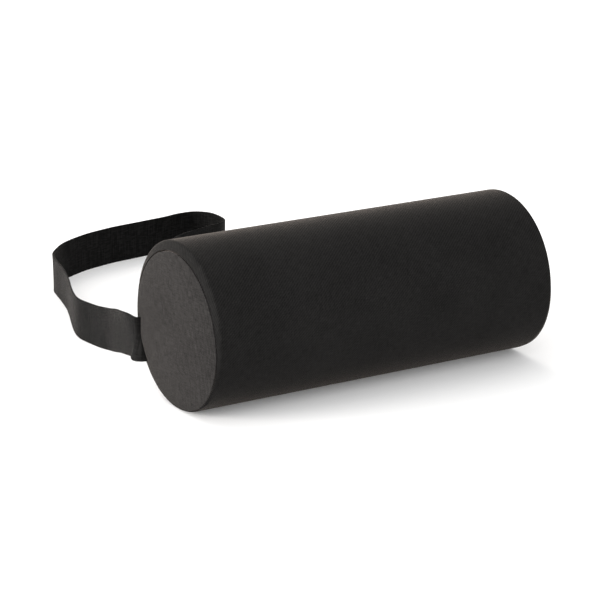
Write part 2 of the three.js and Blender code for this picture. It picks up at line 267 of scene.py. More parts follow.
SEAM_Y = STRAP_SEAM_RADIUS * math.cos(STRAP_SEAM_ANGLE)
SEAM_Z = AXIS_HEIGHT - 2.5 * MM + STRAP_SEAM_RADIUS * math.sin(STRAP_SEAM_ANGLE)
REST_Z = STRAP_WIDTH / 2 + 0.2 * MM
STRAP_ROUTE = [
    (-0.131, SEAM_Y, SEAM_Z),
    (-0.139, SEAM_Y + 0.0003, SEAM_Z),
    (-0.1408, SEAM_Y + 0.0030, SEAM_Z + 0.0004),
    (-0.1411, SEAM_Y + 0.0095, SEAM_Z + 0.0011),
    (-0.1362, SEAM_Y + 0.038, SEAM_Z - 0.0048),
    (-0.1305, SEAM_Y + 0.068, SEAM_Z - 0.0126),
    (-0.1275, 0.1495, REST_Z + 0.0022),
    (-0.126, 0.181, REST_Z),
    (-0.117, 0.2095, REST_Z),
    (-0.107, 0.235, REST_Z),
    (-0.099, 0.262, REST_Z),
    (-0.0935, 0.2855, REST_Z),
    (-0.0885, 0.3005, REST_Z),
    (-0.0780, 0.3145, REST_Z),
    (-0.0635, 0.3275, REST_Z),
    (-0.042, 0.339, REST_Z),
    (-0.016, 0.347, REST_Z),
    (0.040, 0.3555, REST_Z),
    (0.060, 0.3595, REST_Z),
    (0.0735, 0.3585, REST_Z),
    (0.0820, 0.3495, REST_Z),
    (0.0845, 0.3355, REST_Z),
    (0.0820, 0.3215, REST_Z),
    (0.0740, 0.3145, REST_Z),
    (0.0635, 0.3115, REST_Z),
    (0.032, 0.3005, REST_Z),
    (0.018, 0.292, REST_Z),
    (0.009, 0.278, REST_Z),
    (0.007, 0.262, REST_Z),
    (0.014, 0.245, REST_Z),
    (0.049, 0.2175, REST_Z),
    (0.096, 0.188, REST_Z),
    (0.114, 0.165, REST_Z),
    (0.125, 0.138, REST_Z + 0.0030),
    (0.1305, SEAM_Y + 0.062, SEAM_Z - 0.0115),
    (0.1365, SEAM_Y + 0.038, SEAM_Z - 0.007),
    (0.1426, SEAM_Y + 0.008, SEAM_Z - 0.0008),
    (0.142, SEAM_Y + 0.003, SEAM_Z - 0.0002),
    (0.139, SEAM_Y + 0.0003, SEAM_Z),
    (0.131, SEAM_Y, SEAM_Z),
]
# how far its top leans forwards, in degrees, by distance along it in metres
STRAP_LEAN = [(0.0, 0), (0.12, 0), (0.17, 5), (0.215, 7), (0.235, 12), (0.255, 4), (0.30, 3),
              (0.45, 6), (0.50, 8), (0.54, 8), (0.60, 2), (0.70, 0), (0.89, 0)]


def smooth_route(points, steps):
    """The route's centripetal Catmull-Rom curve, with that many steps between points."""
    route = np.array(points, float)
    before = 2 * route[0] - route[1]
    after = 2 * route[-1] - route[-2]
    padded = np.vstack([before, route, after])
    share = np.linspace(0, 1, steps, endpoint=False)[:, None]
    curve = []
    for i in range(1, len(route)):
        p0, p1, p2, p3 = padded[i - 1 : i + 3]
        spans = ((p0, p1), (p1, p2), (p2, p3))
        d0, d1, d2 = (math.sqrt(np.linalg.norm(b - a)) for a, b in spans)
        t1 = ((p1 - p0) / d0 - (p2 - p0) / (d0 + d1) + (p2 - p1) / d1) * d1
        t2 = ((p2 - p1) / d1 - (p3 - p1) / (d1 + d2) + (p3 - p2) / d2) * d1
        cubic = (2 * p1 - 2 * p2 + t1 + t2) * share**3
        curve.append(p1 + t1 * share + (3 * p2 - 3 * p1 - 2 * t1 - t2) * share**2 + cubic)
    curve.append(route[-1:])
    return np.vstack(curve)


def smoothstep(x, low, high):
    share = np.clip((x - low) / (high - low), 0, 1)
    return share * share * (3 - 2 * share)


def strap_section():
    """Outline of the webbing across its width: rounded selvedges, a little thicker."""
    half = STRAP_WIDTH / 2
    thick = STRAP_THICKNESS / 2
    edge = 0.9 * MM
    middle = 0.86  # the thinner part's share of the width
    thinner = 0.86 * thick
    face = [(w * half, thinner) for w in np.linspace(-middle, middle, 13)]
    face = [(-(half - edge), thick)] + face + [(half - edge, thick)]
    angles = np.radians((35, 65, 90, 115, 145))
    turn = [(half - edge + edge * math.sin(a), thick * math.cos(a)) for a in angles]
    back = [(w, -t) for w, t in reversed(face)]
    other = [(-w, t) for w, t in reversed(turn)]
    return np.array(face + turn + back + other)


def strap_directions(at, length, along):
    """Unit vectors across the strap's width, and how far it has turned upright, by place."""
    from_end = np.minimum(at, length - at)
    upright = smoothstep(from_end, STRAP_SEWN, STRAP_TURN)[:, None]
    seam_up = np.array([0, -math.sin(STRAP_SEAM_ANGLE), math.cos(STRAP_SEAM_ANGLE)])
    forwards = np.array([math.sin(CAMERA_AZIMUTH), -math.cos(CAMERA_AZIMUTH), 0])
    places, angles = np.array(STRAP_LEAN).T
    lean = np.tan(np.radians(np.interp(at, places, angles)))
    lean = np.convolve(np.pad(lean, 12, mode="edge"), np.ones(25) / 25, mode="valid")
    width = seam_up * (1 - upright) + np.array([0, 0, 1.0]) * upright + lean[:, None] * forwards
    width -= along * (width * along).sum(1)[:, None]
    return unit(width), upright


def make_strap(material):
    dense = smooth_route(STRAP_ROUTE, 60)
    distance = running_length(dense)
    length = distance[-1]
    even = np.linspace(0, 1, STRAP_RINGS)
    closer = even - 0.45 * np.sin(4 * math.pi * even) / (4 * math.pi)  # closer at the seams
    at = closer * length
    centres = np.column_stack([np.interp(at, distance, dense[:, k]) for k in range(3)])
    along = unit(np.gradient(centres, axis=0))
    width, upright = strap_directions(at, length, along)
    face = np.cross(along, width)
    section = strap_section()
    w = section[:, 0]
    cupping = (1 - upright) * w**2 / (2 * STRAP_SEAM_RADIUS)
    ripple = 0.25 * MM * np.sin(at * 2 * math.pi / 0.047) * np.sin(at * 2 * math.pi / 0.113)
    rings = (
        centres[:, None]
        + width[:, None] * w[None, :, None]
        + face[:, None] * (section[:, 1] - cupping)[..., None]
        + face[:, None] * (ripple[:, None] * (w / w.max()) ** 2)[..., None]
    )
    rings[..., 2] = np.maximum(rings[..., 2], STRAP_CLEAR)
    around = running_length(np.vstack([section, section[:1]]))
    mesh = bar_mesh("strap", rings, at, around)
    strap = add_object("strap", mesh, material)
    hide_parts("elastic_strap")


# ---- roll: one closed form, under pressure in a cloth simulation ----------------------

SEGMENTS = 112
DISC_RINGS = 12
SHOULDER_RINGS = 8
TUBE_RINGS = 56
END_SEGMENTS = 160
FOAM_SEGMENTS = 96
PRESSURE = 4
CLOTH_STEPS = 20
LARGEST_MOVE = 1.2 * MM  # a cap, which the present values don't reach
SLACK = 0.35 * MM  # how much smaller the form starts, which the pressure hardly makes up


def roll_profile():
    """Rings of the left half, from the middle of the end to the shoulder: x, radius, drop."""
    half = []
    for ring in range(DISC_RINGS):
        share = ring / DISC_RINGS
        crown = (CROWN_X - SEAM_X) * (1 - share**CROWN_POWER)
        half.append((-SEAM_X - crown, share * SEAM_RADIUS, SEAM_DROP))
    arc = np.linspace(0, 1, 65)
    slope = SHOULDER_SLOPE + (math.pi / 2 - SHOULDER_SLOPE) * smoothstep(arc, SHOULDER_BEND, 1.0)
    between = (slope[1:] + slope[:-1]) / 2
    inwards = np.concatenate([[0], np.cumsum(np.sin(between))])
    outwards = np.concatenate([[0], np.cumsum(np.cos(between))])
    scale = (ROLL_RADIUS - SEAM_RADIUS) / outwards[-1]
    for share in np.linspace(0, 1, SHOULDER_RINGS + 1):
        rise = np.interp(share, arc, outwards) / outwards[-1]
        x = -SEAM_X + np.interp(share, arc, inwards) * scale
        radius = SEAM_RADIUS + (ROLL_RADIUS - SEAM_RADIUS) * rise
        half.append((x, radius, SEAM_DROP * (1 - rise)))
    return half


def rest_on_floor(z, lift=0.0):
    """Flattens what is below the resting plane, with a soft edge."""
    floor = lift + 0.05 * MM
    soft = 0.35 * MM
    return floor + soft * np.logaddexp(0, (z - floor) / soft)


def make_roll_form():
    """Grid of points, ring by ring along +X, each ring starting at the zip's middle."""
    half = roll_profile()
    start = -half[-1][0]
    straight = [(x, ROLL_RADIUS, 0.0) for x in np.linspace(-start, start, TUBE_RINGS + 1)[1:-1]]
    rings = np.array(half + straight + [(-x, r, d) for x, r, d in reversed(half)])
    turn = ZIP_ANGLE + np.arange(SEGMENTS) * 2 * math.pi / SEGMENTS
    x, radius, drop = rings.T
    bulge = SEAM_BULGE * np.maximum(np.cos(turn - BULGE_ANGLE), 0) ** 4
    bulge -= SEAM_LIFT * np.maximum(-np.sin(turn), 0) ** 6
    share = np.minimum(radius / SEAM_RADIUS, drop / SEAM_DROP)
    radius = radius[:, None] + bulge * share[:, None]
    grid = np.empty((len(rings), SEGMENTS, 3))
    grid[..., 0] = x[:, None]
    grid[..., 1] = radius * np.cos(turn)
    grid[..., 2] = AXIS_HEIGHT - drop[:, None] + radius * np.sin(turn)
    grid = swell(grid)
    grid[..., 2] = rest_on_floor(grid[..., 2])
    return grid


def swell(grid):
    """Cloth simulation of the filled cover: pressure inside, the end seams held. The form is
    taut already, so its points move by 0.03 mm on average and 0.25 mm at most."""
    rings = len(grid)
    axis = np.array([0, 0, AXIS_HEIGHT - SEAM_DROP / 2])
    inwards = (grid - axis) * np.array([0, 1, 1])
    reach = np.linalg.norm(inwards, axis=-1, keepdims=True)
    start = grid - inwards / np.maximum(reach, 1e-6) * SLACK * (reach > 1e-6)
    points = np.vstack([start[0, :1], start[1:-1].reshape(-1, 3), start[-1, :1]])
    faces, _ = grid_faces(rings - 2, SEGMENTS, wrap=True, first=1)
    last = 1 + (rings - 3) * SEGMENTS
    for i in range(SEGMENTS):
        after = (i + 1) % SEGMENTS
        faces.append((0, 1 + after, 1 + i))
        faces.append((len(points) - 1, last + i, last + after))
    mesh = mesh_from("cloth_form", points, faces)
    outward(mesh)
    form = new_object("cloth_form", mesh)
    held = form.vertex_groups.new(name="seams")
    for ring in (DISC_RINGS, rings - 1 - DISC_RINGS):
        first = 1 + (ring - 1) * SEGMENTS
        held.add(list(range(first, first + SEGMENTS)), 1.0, "REPLACE")
    cloth = form.modifiers.new("cloth", "CLOTH")
    cloth.settings.quality = 6
    cloth.settings.mass = 0.2
    cloth.settings.tension_stiffness = 30
    cloth.settings.compression_stiffness = 30
    cloth.settings.shear_stiffness = 10
    cloth.settings.bending_stiffness = 2
    cloth.settings.use_pressure = True
    cloth.settings.uniform_pressure_force = PRESSURE
    cloth.settings.vertex_group_mass = "seams"
    cloth.settings.effector_weights.gravity = 0
    cloth.point_cache.frame_start = 1
    cloth.point_cache.frame_end = CLOTH_STEPS
    scene = bpy.context.scene
    for step in range(1, CLOTH_STEPS + 1):
        scene.frame_set(step)
    graph = bpy.context.evaluated_depsgraph_get()
    done = form.evaluated_get(graph).data
    moved = np.empty(len(done.vertices) * 3)
    done.vertices.foreach_get("co", moved)
    moved = moved.reshape(-1, 3)
    bpy.data.objects.remove(form)
    scene.frame_set(1)
    result = np.empty_like(grid)
    result[0] = moved[0]
    result[-1] = moved[-1]
    result[1:-1] = moved[1:-1].reshape(rings - 2, SEGMENTS, 3)
    change = result - start
    size = np.linalg.norm(change, axis=-1, keepdims=True)
    return start + change * np.minimum(1, LARGEST_MOVE / np.maximum(size, 1e-9))


def cubic_weights(share):
    square = share**2
    cube = share**3
    return (
        -0.5 * share + square - 0.5 * cube,
        1 - 2.5 * square + 1.5 * cube,
        0.5 * share + 2 * square - 1.5 * cube,
        -0.5 * square + 0.5 * cube,
    )


def sample(grid, rows, columns):
    """Points of the grid's smooth surface at any ring and segment numbers."""
    row = np.floor(rows).astype(int)
    column = np.floor(columns).astype(int)
    across = 0
    for k, weight in zip((-1, 0, 1, 2), cubic_weights(rows - row)):
        across = across + grid[np.clip(row + k, 0, len(grid) - 1)] * weight[:, None, None]
    result = 0
    for k, weight in zip((-1, 0, 1, 2), cubic_weights(columns - column)):
        result = result + across[:, (column + k) % grid.shape[1]] * weight[None, :, None]
    return result


def ring_at(grid, row, columns):
    """Points of the grid's smooth surface along one ring."""
    return sample(grid, np.array([float(row)]), columns)[0]


def at_strap(points):
    """1 where the strap is sewn in, 0 along the rest of an end seam."""
    angle = np.arctan2(points[..., 2] - AXIS_HEIGHT + SEAM_DROP, points[..., 1])
    away = np.abs(angle - STRAP_SEAM_ANGLE) * STRAP_SEAM_RADIUS
    return 1 - smoothstep(away, STRAP_WIDTH / 2 + 0.2 * MM, STRAP_WIDTH / 2 + 3 * MM)


def seam_fold(edge, seam, outwards_x):
    """Rings that turn a panel's edge into the seam and end in its allowance."""
    radial = from_axis(seam, SEAM_DROP)
    distance = ((seam - edge) * radial).sum(-1, keepdims=True)
    inwards = radial * np.sign(distance)
    strap = at_strap(seam)[..., None]
    gap = SEAM_GAP + (STRAP_GAP - SEAM_GAP) * strap
    fold = np.maximum(np.abs(distance) - gap / 2, 0.2 * MM)
    closing = inwards * (SEAM_GAP / 2 - 0.05 * MM) * (1 - strap)
    out = np.array([outwards_x, 0, 0])
    rings = []
    for turn in np.radians((22.5, 45, 67.5, 90)):
        rings.append(edge + fold * (inwards * math.sin(turn) - out * (1 - math.cos(turn))))
    rings.append(rings[3] - out * 3 * MM)
    rings.append(rings[3] - out * 5 * MM + closing)
    return rings


def tube_columns():
    """Places round the roll, in metres of arc from the zip's middle, close near the zip."""
    full = 2 * math.pi * ROLL_RADIUS
    near = np.linspace(0, SLOT_HALF_WIDTH, 6)
    hem = np.linspace(SLOT_HALF_WIDTH, HEM_REACH, 13)
    rest = np.linspace(HEM_REACH, full - HEM_REACH, 196)
    half = np.concatenate([near, hem[1:]])
    return np.concatenate([half, rest[1:-1], full - half[:0:-1]])


def tube_rows(grid, first, last):
    """Ring numbers of the tube's rows, from its left seam to its right one, close together
    at the shoulders, with one at each end of the zip slot."""
    ring_x = grid[:, :, 0].mean(1)
    slot_x = np.linspace(-SLOT_HALF_LENGTH, SLOT_HALF_LENGTH, 113)
    tail_x = np.linspace(SLOT_HALF_LENGTH, 127.5 * MM, 6)[1:]
    body_x = np.concatenate([-tail_x[::-1], slot_x, tail_x])
    body = np.interp(body_x, ring_x[first : last + 1], np.arange(first, last + 1))
    shoulder = np.linspace(first + TUBE_EDGE, body[0], 17)[:-1]
    return np.concatenate([shoulder, body, last - (shoulder[::-1] - first)])


def make_cover_tube(grid, material):
    """The tube-shaped panel, turned into both end seams, with its zip slot left open."""
    full = 2 * math.pi * ROLL_RADIUS
    arcs = tube_columns()
    columns = arcs / full * SEGMENTS
    first = DISC_RINGS
    last = len(grid) - 1 - DISC_RINGS
    points = sample(grid, tube_rows(grid, first, last), columns)
    arc = np.where(arcs > full / 2, arcs - full, arcs)
    points = points + zip_relief(points, arc)
    fold_left = seam_fold(points[0], ring_at(grid, first, columns), -1)
    fold_right = seam_fold(points[-1], ring_at(grid, last, columns), 1)
    rings = np.array(fold_left[::-1] + list(points) + fold_right)
    along = running_length(rings)
    around = np.append(arcs, full)
    inside = (np.abs(rings[..., 0].mean(1)) < SLOT_HALF_LENGTH + 0.01 * MM).nonzero()[0]
    faces = []
    uvs = []
    for face, corner in zip(*grid_faces(len(rings), len(arcs), wrap=True)):
        row = corner[0][0]
        middle = (around[corner[0][1]] + around[corner[1][1]]) / 2
        in_slot = min(middle, full - middle) < SLOT_HALF_WIDTH
        if in_slot and inside[0] <= row < inside[-1]:
            continue
        faces.append(face)
        uvs.append([(along[r], around[c]) for r, c in corner])
    mesh = mesh_from("cover_tube", rings.reshape(-1, 3), faces, uvs)
    turn_hem(mesh)
    outward(mesh)
    piece = add_object("cover_tube", mesh, material)
    thicken(piece, FABRIC)
    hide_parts("cover_tube_panel")


def from_axis(points, drop=0.0):
    """Unit vectors out from the roll's axis, or from a line that far below it."""
    return unit((points - np.array([0, 0, AXIS_HEIGHT - drop])) * np.array([0, 1, 1]))


def zip_relief(points, arc):
    """The doubled hems beside the zip, their stitch line, and the seam past its ends."""
    x = points[..., 0]
    side = np.abs(arc)[None, :]
    beside = 1 - smoothstep(side, 9.4 * MM, 11.2 * MM)
    within = 1 - smoothstep(np.abs(x), SLOT_HALF_LENGTH + 2 * MM, SLOT_HALF_LENGTH + 5 * MM)
    pull = 0.55 + 0.45 * np.sin(x * 2 * math.pi / STITCH_PITCH)
    line = np.exp(-(((side - STITCH_OFFSET) / (0.75 * MM)) ** 2)) * within * pull
    closed = smoothstep(np.abs(x), SLOT_HALF_LENGTH + 1 * MM, SLOT_HALF_LENGTH + 2.5 * MM)
    shut = np.exp(-((side / (0.8 * MM)) ** 2)) * closed
    height = 0.35 * MM * beside * within - 0.45 * MM * line - 0.8 * MM * shut
    return from_axis(points) * height[..., None]


def turn_hem(mesh):
    """Folds the zip slot's edge under, to a turned hem."""
    shape = bmesh.new()
    shape.from_mesh(mesh)
    loose = [v for v in shape.verts if not v.link_faces]
    bmesh.ops.delete(shape, geom=loose, context="VERTS")
    reach = SLOT_HALF_LENGTH + 1 * MM
    edges = [e for e in shape.edges if e.is_boundary]
    edges = [e for e in edges if max(abs(v.co.x) for v in e.verts) < reach]
    layer = shape.loops.layers.uv.active
    across = ZIP_ANGLE + math.pi / 2
    around = Vector((0, math.cos(across), math.sin(across)))
    axis = Vector((0, 0, AXIS_HEIGHT))
    end_x = SLOT_HALF_LENGTH - 0.5 * MM
    side_arc = SLOT_HALF_WIDTH - 0.7 * MM
    fold = 0.4 * MM
    done_depth = 0.0
    done_under = 0.0
    for turn in (45, 90, 135, 180, None):
        grown = bmesh.ops.extrude_edge_only(shape, edges=edges)["geom"]
        verts = [g for g in grown if isinstance(g, bmesh.types.BMVert)]
        edges = [g for g in grown if isinstance(g, bmesh.types.BMEdge) and g.is_boundary]
        angle = math.radians(turn) if turn else math.pi
        depth = fold * (1 - math.cos(angle))
        under = -fold * math.sin(angle) if turn else 3 * MM
        for vert in verts:
            radial = Vector((0, vert.co.y, vert.co.z - AXIS_HEIGHT)).normalized()
            off = around.dot(vert.co - axis)
            off_x = math.copysign(1, vert.co.x) if abs(vert.co.x) > end_x else 0
            off_arc = math.copysign(1, off) if abs(off) > side_arc else 0
            away = Vector((off_x, 0, 0)) + around * off_arc
            vert.co += away * (under - done_under) - radial * (depth - done_depth)
        done_depth = depth
        done_under = under
        for face in {f for v in verts for f in v.link_faces}:
            for loop in face.loops:
                loop[layer].uv = (loop.vert.co.x + 0.2, loop.vert.co.z)
    shape.to_mesh(mesh)
    shape.free()


def make_end_cap(grid, sign, name, node, material):
    """A domed end panel, turned into the seam all round."""
    first = DISC_RINGS if sign < 0 else len(grid) - 1 - DISC_RINGS
    pole = 0 if sign < 0 else len(grid) - 1
    count = END_SEGMENTS
    columns = np.arange(count) / count * SEGMENTS
    rows = np.linspace(pole, first + sign * END_EDGE, 27)[1:]
    points = sample(grid, rows, columns)
    seam = ring_at(grid, first, columns)
    rings = np.array(list(points) + seam_fold(points[-1], seam, sign))
    faces, _ = grid_faces(len(rings), count, wrap=True, first=1)
    faces += [(0, 1 + (i + 1) % count, 1 + i) for i in range(count)]
    centre = ring_at(grid, pole, columns[:1])
    flat = np.vstack([centre, rings.reshape(-1, 3)])
    uvs = [[(flat[i][1] * sign, flat[i][2]) for i in face] for face in faces]
    mesh = mesh_from(name, flat, faces, uvs)
    outward(mesh)
    # an open sheet has no outside of its own, so a face of the disc decides
    if mesh.polygons[len(mesh.polygons) // 3].normal.x * sign < 0:
        mesh.flip_normals()
    piece = add_object(name, mesh, material)
    thicken(piece, FABRIC)
    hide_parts(node)


def make_foam(material):
    """The foam core, a little smaller than the cover, with a shallow channel at the zip."""
    count = FOAM_SEGMENTS
    rings = []
    turn = ZIP_ANGLE + np.arange(count) * 2 * math.pi / count
    beside = np.abs((turn - ZIP_ANGLE + math.pi) % (2 * math.pi) - math.pi) * ROLL_RADIUS
    channel = 1 - smoothstep(beside, 14 * MM, 19 * MM)
    channel_depth = 4.4 * MM
    neck = 50.0 * MM
    for inset, share in ((1.2, 0.5), (1.6, 0.9), (2.2, 0.985), (4, 1.0)):
        rings.append((SEAM_X - inset * MM, share * neck, SEAM_DROP, 0.0))
    for x, radius in ((129.0, 50.4), (128.3, 51.5), (127.9, 56.6), (126.6, 58.0), (124.0, 58.5)):
        rings.append((x * MM, radius * MM, 0.0, 1.0))
    for x in np.linspace(0.118, 0.0, 12):
        rings.append((x, 58.6 * MM, 0.0, 1.0))
    profile = rings + [(-x, r, d, c) for x, r, d, c in reversed(rings[:-1])]
    points = [(CROWN_X - 2 * MM, 0, AXIS_HEIGHT - SEAM_DROP)]
    for x, radius, drop, open_channel in profile:
        reach = radius - channel_depth * channel * open_channel * (radius > 55 * MM)
        y = reach * np.cos(turn)
        z = rest_on_floor(AXIS_HEIGHT - drop + reach * np.sin(turn), 0.9 * MM)
        points += [(x, b, c) for b, c in zip(y, z)]
    points.append((-CROWN_X + 2 * MM, 0, AXIS_HEIGHT - SEAM_DROP))
    faces, _ = grid_faces(len(profile), count, wrap=True, first=1)
    last = len(points) - 1
    faces += [(0, 1 + (i + 1) % count, 1 + i) for i in range(count)]
    faces += [(last, last - count + i, last - count + (i + 1) % count) for i in range(count)]
    piece = add_solid("foam_roll", (points, faces), material, "foam_core")


# ---- zip ------------------------------------------------------------------------------


def on_zip(x, reach, across):
    """A point in the zip's own frame: along it, out from the roll's axis, and across it."""
    x, reach, across = np.broadcast_arrays(x, reach, across)
    y = reach * math.cos(ZIP_ANGLE) - across * math.sin(ZIP_ANGLE)
    z = AXIS_HEIGHT + reach * math.sin(ZIP_ANGLE) + across * math.cos(ZIP_ANGLE)
    return np.stack([x, y, z], axis=-1)


def out_of_roll():
    """The direction that points out of the roll at the middle of the zip."""
    return tuple(on_zip(0, 1, 0) - on_zip(0, 0, 0))


def make_tape(side, name, node, material):
    """One woven tape, bent round the roll, with its inner edge beside the coil."""
    thick = 0.3 * MM
    lo, hi = (s * MM / TAPE_RADIUS for s in (0.65, 12.9))
    across = np.linspace(lo, hi, 15)
    edge = 0.15 * MM / TAPE_RADIUS
    outline = [(lo - edge, 0.0)] + [(a, thick) for a in across]
    outline += [(hi + edge, 0.0)] + [(a, -thick) for a in across[::-1]]
    angle, lift = np.array(outline).T
    reach = (TAPE_RADIUS + lift) * np.cos(angle)
    z = side * (TAPE_RADIUS + lift) * np.sin(angle)
    xs = np.linspace(-TAPE_HALF_LENGTH, TAPE_HALF_LENGTH, 121)
    wave = 0.05 * MM * np.sin(xs * 2 * math.pi / 0.031)
    rings = np.array([on_zip(x, reach + w, z) for x, w in zip(xs, wave)])
    mesh = bar_mesh(name, rings, xs + 0.2, np.append(angle, angle[0]) * TAPE_RADIUS)
    piece = add_object(name, mesh, material)
    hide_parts(node)


def make_guard(material):
    """The strip of cover fabric sewn in behind the zip, which keeps the foam out of sight."""
    arcs = np.linspace(-GUARD_HALF_ANGLE, GUARD_HALF_ANGLE, 21)
    angle = np.concatenate([arcs, arcs[::-1]])
    thick = 0.15 * MM
    reach = GUARD_RADIUS + np.repeat([thick, -thick], len(arcs))
    xs = np.linspace(-GUARD_HALF_LENGTH, GUARD_HALF_LENGTH, 81)
    rings = []
    for x in xs:
        sagged = reach + 0.1 * MM * np.sin(x * 2 * math.pi / 0.043)
        rings.append(on_zip(x, sagged * np.cos(angle), sagged * np.sin(angle)))
    around = np.append(angle, angle[0]) * ROLL_RADIUS
    mesh = bar_mesh("zip_guard", np.array(rings), xs + 0.2, around)
    add_object("zip_guard", mesh, material)


def make_coil(side, name, node, material):
    """A nylon coil: a flattened helix of monofilament, a turn for each tooth."""
    pitch = 1.6 * MM
    turns = int(2 * COIL_HALF_LENGTH / pitch) - 1
    steps = 14
    t = np.arange(turns * steps + 1) / steps
    angle = 2 * math.pi * t
    x = -turns * pitch / 2 + pitch * t + side * pitch / 4
    # each turn runs across the tape, from a head near the zip's middle line
    across = 1.75 * MM - 1.0 * MM * np.cos(angle)
    reach = ROLL_RADIUS - 0.15 * MM + 0.44 * MM * np.sin(angle)
    path = on_zip(x, reach, side * across)
    helix = tube_along(path, 0.33 * MM, sides=6, up=out_of_roll())
    add_solid(name, helix, material, node)


def make_stitching(side, name, node, material):
    """Lockstitches along one hem, each dipping into the fabric at its ends."""
    count = int(2 * (SLOT_HALF_LENGTH + 1 * MM) / STITCH_PITCH)
    parts = []
    angle = STITCH_OFFSET / ROLL_RADIUS
    share = np.linspace(-1, 1, 7)
    reach = ROLL_RADIUS + 0.12 * MM - 0.42 * MM * share**4
    out = reach * math.cos(angle)
    across = side * reach * math.sin(angle)
    for i in range(count):
        middle = (i - (count - 1) / 2) * STITCH_PITCH
        path = on_zip(middle + share * 1.3 * MM, out, across)
        parts.append(tube_along(path, 0.26 * MM, sides=7, up=out_of_roll()))
    add_solid(name, joined(parts), material, node)


def plate(outlines, thickness, bevel):
    """A flat plate with rounded edges from closed outlines, the first one its rim and the
    rest holes. It lies in X and Y, centred on Z = 0."""
    curve = bpy.data.curves.new("plate", "CURVE")
    curve.dimensions = "2D"
    curve.fill_mode = "BOTH"
    curve.extrude = thickness / 2 - bevel
    curve.bevel_depth = bevel
    curve.bevel_resolution = 2
    curve.offset = -bevel
    for outline in outlines:
        spline = curve.splines.new("POLY")
        spline.points.add(len(outline) - 1)
        for point, (x, y) in zip(spline.points, outline):
            point.co = (x, y, 0, 1)
        spline.use_cyclic_u = True
    holder = new_object("plate", curve)
    graph = bpy.context.evaluated_depsgraph_get()
    mesh = bpy.data.meshes.new_from_object(holder.evaluated_get(graph))
    shape = bmesh.new()
    shape.from_mesh(mesh)
    bmesh.ops.remove_doubles(shape, verts=shape.verts, dist=0.01 * MM)
    points = np.array([tuple(v.co) for v in shape.verts])
    shape.verts.index_update()
    faces = [tuple(v.index for v in f.verts) for f in shape.faces]
    shape.free()
    bpy.data.objects.remove(holder)
    bpy.data.curves.remove(curve)
    bpy.data.meshes.remove(mesh)
    return points, faces


def arc_points(x, y, radius, start, end, count):
    angles = np.radians(np.linspace(start, end, count))
    return [(x + radius * math.cos(a), y + radius * math.sin(a)) for a in angles]


def rounded_box(length, width, corner):
    half_l = length / 2 - corner
    half_w = width / 2 - corner
    outline = []
    for along, across, start in ((1, 1, 0), (-1, 1, 90), (-1, -1, 180), (1, -1, 270)):
        outline += arc_points(along * half_l, across * half_w, corner, start, start + 90, 5)
    return outline


def slider_outline(length, front, back):
    """Plan of a slider plate: broad where the teeth part, narrower behind."""
    half = length / 2
    outline = []
    for share in np.linspace(-1, 1, 15):
        width = back + (front - back) * smoothstep(share, -0.4, 0.75)
        width *= math.sqrt(max(0, 1 - max(0, (abs(share) - 0.72) / 0.28) ** 2)) * 0.55 + 0.45
        outline.append((share * half, width))
    return outline + [(x, -y) for x, y in reversed(outline)]


def lay_on_zip(points, x, reach):
    """Places a plate made flat in X and Y on the zip, its Z pointing out of the roll."""
    points = np.asarray(points)
    return on_zip(points[:, 0] + x, points[:, 2] + reach, points[:, 1])


def make_stop(x, across, width, name, node, material):
    """A crimped stop: a rounded clamp with a shallow middle."""
    points, faces = plate([rounded_box(2.4 * MM, width, 0.5 * MM)], 2.0 * MM, 0.4 * MM)
    points[:, 2] -= 0.25 * MM * np.exp(-((points[:, 0] / (0.5 * MM)) ** 2)) * (points[:, 2] > 0)
    place = lay_on_zip(points + np.array([0, across, 0]), x, ROLL_RADIUS + 0.05 * MM)
    add_solid(name, (place, faces), material, node)


def make_slider(material):
    """The slider body: two plates round the teeth, a wedge, side flanges and a bridge."""
    parts = []
    top, faces = plate([slider_outline(12 * MM, 4.4 * MM, 3.5 * MM)], 1.0 * MM, 0.35 * MM)
    top[:, 2] -= 0.25 * MM * (top[:, 1] / (4.4 * MM)) ** 2
    parts.append((lay_on_zip(top, SLIDER_X, ROLL_RADIUS + 1.65 * MM), faces))
    under, faces = plate([slider_outline(12 * MM, 4.3 * MM, 3.4 * MM)], 0.9 * MM, 0.3 * MM)
    parts.append((lay_on_zip(under, SLIDER_X, ROLL_RADIUS - 2.9 * MM), faces))
    # the wedge that parts the teeth
    neck, faces = plate([rounded_box(3.0 * MM, 0.6 * MM, 0.25 * MM)], 4.4 * MM, 0.1 * MM)
    parts.append((lay_on_zip(neck, SLIDER_X + 4 * MM, ROLL_RADIUS - 0.65 * MM), faces))
    for side in (-1, 1):
        flange, faces = plate([rounded_box(9.5 * MM, 0.75 * MM, 0.3 * MM)], 2.2 * MM, 0.25 * MM)
        flange[:, 1] += side * 3.9 * MM
        parts.append((lay_on_zip(flange, SLIDER_X, ROLL_RADIUS + 0.2 * MM), faces))
    # the bridge that holds the pull tab
    half = 3.0 * MM
    low = ROLL_RADIUS + 1.9 * MM
    high = ROLL_RADIUS + 4.35 * MM
    arch = [(-half, low)] + arc_points(-half + 1 * MM, high - 1 * MM, 1 * MM, 180, 90, 6)
    arch += arc_points(half - 1 * MM, high - 1 * MM, 1 * MM, 90, 0, 6) + [(half, low)]
    path = np.array([on_zip(SLIDER_X + x, reach, 0.0) for x, reach in arch])
    side = tuple(on_zip(0, 0, 1) - on_zip(0, 0, 0))
    parts.append(tube_along(path, 0.45 * MM, sides=12, flatten=1.9, up=side))
    shape = joined(parts)
    add_solid("zip_slider_body", shape, material, "zip_slider", body="slider")


